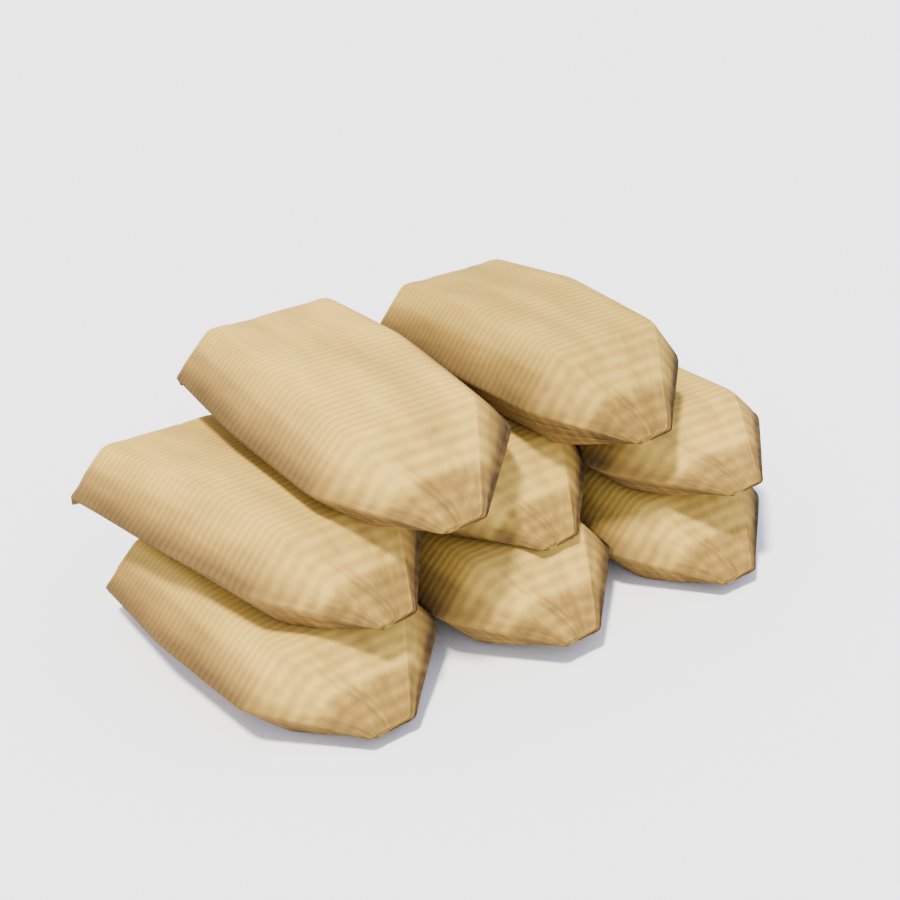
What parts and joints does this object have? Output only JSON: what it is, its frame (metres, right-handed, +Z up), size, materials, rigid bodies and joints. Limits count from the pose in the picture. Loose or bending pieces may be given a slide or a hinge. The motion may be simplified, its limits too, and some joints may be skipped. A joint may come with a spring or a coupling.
{
  "type": "stack of filled sacks",
  "caption": "Free-standing stack of filled woven sacks laid side by side in layers, each narrowing to a closed front end, with a blunt rear end.",
  "frame": {"origin": "middle of the stack's bounding box, at the floor that the lowest sacks lie on", "axes": "+X along the row of sacks, -Y towards their narrow ends, +Z up"},
  "size_m": [1.1886, 0.75, 0.4714],
  "materials": {
    "sackcloth": "coarse ribbed tan sackcloth, matt"
  },
  "bodies": {
    "root": {"sack_bottom_left": "sackcloth", "sack_bottom_centre": "sackcloth", "sack_bottom_right": "sackcloth", "sack_middle_left": "sackcloth", "sack_middle_centre": "sackcloth", "sack_middle_right": "sackcloth", "sack_top_left": "sackcloth", "sack_top_right": "sackcloth"}
  },
  "joints": []
}
